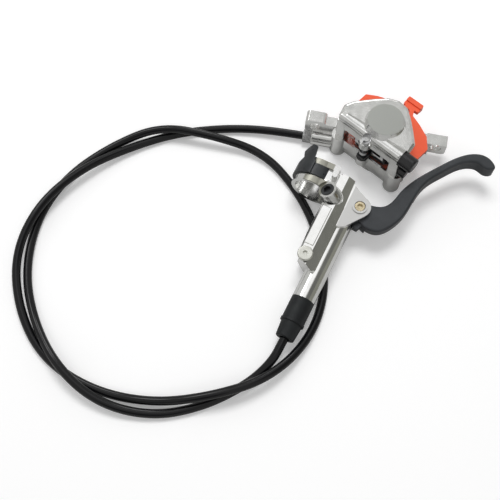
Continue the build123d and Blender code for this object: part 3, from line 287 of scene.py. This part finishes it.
# which look each CAD piece gets
nodeLooks = {
    "lever_body": "polishedAlloy", "reservoir_cover": "polishedAlloy", "reservoir_diaphragm": "rubber",
    "bleed_screw": "capAlloy", "bleed_o_ring": "rubber", "clamp_band": "bandAlloy",
    "clamp_hinge_pin": "turnedSteel", "clamp_screw": "blackSteel", "clamp_insert": "blackMoulding",
    "lever_blade": "graphite", "pivot_bolt": "brass", "pivot_bushes": "blackMoulding",
    "cam_roller": "turnedSteel", "roller_pin": "turnedSteel", "pushrod": "turnedSteel",
    "master_piston": "satinAlloy", "piston_cups": "rubber", "piston_stop_ring": "springSteel",
    "return_spring": "springSteel", "lever_hose_nut": "blackSteel", "lever_olive": "brass",
    "rubber_boot": "rubber", "caliper_body": "caliperAlloy", "upper_piston": "resin", "lower_piston": "resin",
    "upper_piston_seal": "rubber", "lower_piston_seal": "rubber", "upper_pad_plate": "paintedSteel",
    "upper_pad_lining": "lining", "lower_pad_plate": "paintedSteel", "lower_pad_lining": "lining",
    "pad_spring": "springSteel", "pad_pin": "turnedSteel", "pad_pin_clip": "springSteel",
    "bleed_nipple": "turnedSteel", "nipple_cap": "capRubber", "port_plug": "capRubber",
    "pad_spacer": "orangeMoulding", "caliper_hose_nut": "turnedSteel", "caliper_olive": "brass",
    "hose": "hoseJacket",
}

for node, look in nodeLooks.items():
    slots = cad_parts[node].data.materials
    slots.clear()
    slots.append(materials[look])
print("CAD pieces finished")


# hose on the CAD hose's route, as one smooth spline; sizes and places in millimetres
hoseLine = {
    "diameter": 5.0,
    "length": 1021.0,
    "roundness": 5,
    "stepsPerPoint": 12,
    "splineOrder": 3,
    "route": [
        (-38.3, -55.9, 10.7), (-41.5, -68.5, 9.8), (-44.9, -81.5, 8.6), (-48.6, -94.0, 6.9),
        (-59.5, -108.0, 2.6), (-80.5, -125.0, 2.5), (-106.5, -136.0, 2.5), (-136.5, -135.5, 6.0),
        (-163.0, -121.5, 10.5), (-185.5, -97.0, 3.5), (-200.0, -69.0, 2.5), (-204.0, -35.0, 2.5),
        (-195.0, -4.0, 2.6), (-174.5, 22.5, 2.5), (-146.5, 39.5, 9.0), (-113.0, 39.5, 9.0),
        (-81.0, 37.5, 3.5), (-57.5, 19.0, 2.5), (-38.0, -8.0, 2.5), (-26.5, -43.0, 2.5),
        (-30.0, -75.0, 3.0), (-48.0, -104.0, 9.5), (-77.5, -121.0, 11.0), (-108.5, -129.0, 3.0),
        (-141.5, -129.0, 2.5), (-173.0, -117.5, 2.5), (-195.5, -93.5, 2.5), (-208.0, -62.0, 6.0),
        (-203.5, -29.5, 9.5), (-186.5, -0.5, 8.5), (-164.0, 22.5, 3.5), (-136.5, 40.5, 2.5),
        (-105.5, 51.0, 2.5), (-74.5, 54.0, 4.7), (-45.3, 54.0, 4.7),
    ],
}


def makeHose(line):
    curve = bpy.data.curves.new("brakeHose", "CURVE")
    curve.dimensions = "3D"
    curve.bevel_depth = line["diameter"] * mm / 2
    curve.bevel_resolution = line["roundness"]
    curve.resolution_u = line["stepsPerPoint"]
    curve.use_fill_caps = True
    spline = curve.splines.new("NURBS")
    spline.points.add(len(line["route"]) - 1)  # the new spline has its first point already
    for point, place in zip(spline.points, line["route"]):
        point.co = (*[part * mm for part in place], 1.0)
    spline.order_u = line["splineOrder"]
    spline.use_endpoint_u = True
    curve.materials.append(materials["hoseJacket"])
    piece = bpy.data.objects.new("brakeHose", curve)
    bpy.context.scene.collection.objects.link(piece)
    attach(piece, "brake")
    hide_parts("hose")


makeHose(hoseLine)
print("hose laid")


# pale floor: it glows only for the camera, and more so further away, where the lamps don't reach
floorPaper = {
    "size": 6.0,
    "drop": 0.00005,
    "color": (0.86, 0.86, 0.86),
    "mirroredColor": (0.60, 0.60, 0.59),
    "glow": (0.24, 0.96),
    "glowReach": (0.28, 0.72),
}


def makeFloor(settings):
    half = settings["size"] / 2
    corners = [(-half, -half, 0), (half, -half, 0), (half, half, 0), (-half, half, 0)]
    mesh = bpy.data.meshes.new("floor")
    mesh.from_pydata(corners, [], [(0, 1, 2, 3)])
    floor = bpy.data.objects.new("floor", mesh)
    bpy.context.scene.collection.objects.link(floor)
    floor.location.z = -settings["drop"]
    material = bpy.data.materials.new("floorPaper")
    material.use_nodes = True
    tree = material.node_tree
    tree.nodes.clear()
    direct, mirrored = lightRays(tree)
    paper = tree.nodes.new("ShaderNodeBsdfDiffuse")
    color = mixBy(tree, mirrored, settings["color"], settings["mirroredColor"])
    tree.links.new(color, paper.inputs["Color"])
    reach = tree.nodes.new("ShaderNodeVectorMath")
    reach.operation = "LENGTH"
    place = tree.nodes.new("ShaderNodeNewGeometry")
    tree.links.new(place.outputs["Position"], reach.inputs[0])
    level = mapRange(tree, reach.outputs["Value"], settings["glowReach"], settings["glow"])
    glow = tree.nodes.new("ShaderNodeEmission")
    tree.links.new(mathNode(tree, "MULTIPLY", level, direct), glow.inputs["Strength"])
    both = tree.nodes.new("ShaderNodeAddShader")
    tree.links.new(paper.outputs[0], both.inputs[0])
    tree.links.new(glow.outputs[0], both.inputs[1])
    output = tree.nodes.new("ShaderNodeOutputMaterial")
    tree.links.new(both.outputs[0], output.inputs["Surface"])
    mesh.materials.append(material)


makeFloor(floorPaper)


# lamps, which light the pieces but aren't mirrored in them
lamps = {
    "target": (-0.02, 0.0, 0.0),
    "keyLight": {"place": (-0.14, 0.36, 1.08), "size": (0.5, 0.4), "power": 6.6},
    "sideLight": {"place": (-0.75, 0.25, 0.75), "size": (0.6, 0.6), "power": 1.0},
    "fillLight": {"place": (0.1, -0.7, 0.9), "size": (0.9, 0.5), "power": 1.2},
}


def areaLight(name, settings, target):
    data = bpy.data.lights.new(name, "AREA")
    data.shape = "RECTANGLE"
    data.size, data.size_y = settings["size"]
    data.energy = settings["power"]
    light = bpy.data.objects.new(name, data)
    bpy.context.scene.collection.objects.link(light)
    light.location = settings["place"]
    light.visible_glossy = False  # the studio below makes the reflections
    aim = Vector(target) - Vector(settings["place"])
    light.rotation_euler = aim.to_track_quat("-Z", "Y").to_euler()


for name in ("keyLight", "sideLight", "fillLight"):
    areaLight(name, lamps[name], lamps["target"])


# studio around it: white to the camera, and to polished metal a pale room with dim and bright patches;
# a patch is whole up to its inner angle from its direction, in degrees, and fades out at its outer one
studio = {
    "skyLight": 0.34,
    "room": (0.56, 0.56, 0.545),
    "patches": [
        {"color": (0.24, 0.24, 0.205), "toward": (0.95, 0.05, 0.31), "inner": 20, "outer": 30},
        {"color": (0.15, 0.15, 0.14), "toward": (0.593, 0.107, 0.80), "inner": 14, "outer": 20},
        {"color": (0.12, 0.12, 0.12), "toward": (0.05, -0.82, 0.57), "inner": 14, "outer": 24},
        {"color": (1.05, 1.05, 1.05), "toward": (-0.05, 0.27, 0.96), "inner": 14, "outer": 19},
        {"color": (4.5, 4.5, 4.5), "toward": (-0.44, 0.42, 0.79), "inner": 6, "outer": 11},
        {"color": (4.5, 4.5, 4.5), "toward": (-0.10, 0.80, 0.59), "inner": 6, "outer": 11},
    ],
}
white = (1.0, 1.0, 1.0, 1.0)


def background(tree, color, strength=1.0):
    node = tree.nodes.new("ShaderNodeBackground")
    feed(tree, node.inputs["Color"], color)
    node.inputs["Strength"].default_value = strength
    return node.outputs[0]


def mixShader(tree, mask, low, high):
    node = tree.nodes.new("ShaderNodeMixShader")
    tree.links.new(mask, node.inputs["Fac"])
    tree.links.new(low, node.inputs[1])
    tree.links.new(high, node.inputs[2])
    return node.outputs[0]


def makeWorld(settings):
    world = bpy.data.worlds.new("studio")
    bpy.context.scene.world = world
    world.use_nodes = True
    tree = world.node_tree
    tree.nodes.clear()
    around = tree.nodes.new("ShaderNodeTexCoord").outputs["Generated"]
    room = settings["room"]
    for patch in settings["patches"]:
        toward = along(tree, around, Vector(patch["toward"]).normalized())
        edge = [math.cos(math.radians(patch[angle])) for angle in ("outer", "inner")]
        mask = mapRange(tree, toward, edge, (0.0, 1.0), "SMOOTHSTEP")
        room = mixBy(tree, mask, room, patch["color"])
    direct, mirrored = lightRays(tree)
    sky = background(tree, white, settings["skyLight"])
    indirect = mixShader(tree, mirrored, sky, background(tree, room))
    seen = mixShader(tree, direct, indirect, background(tree, white))
    output = tree.nodes.new("ShaderNodeOutputWorld")
    tree.links.new(seen, output.inputs["Surface"])


makeWorld(studio)
bpy.context.scene.view_settings.view_transform = "Standard"
print("studio lit")
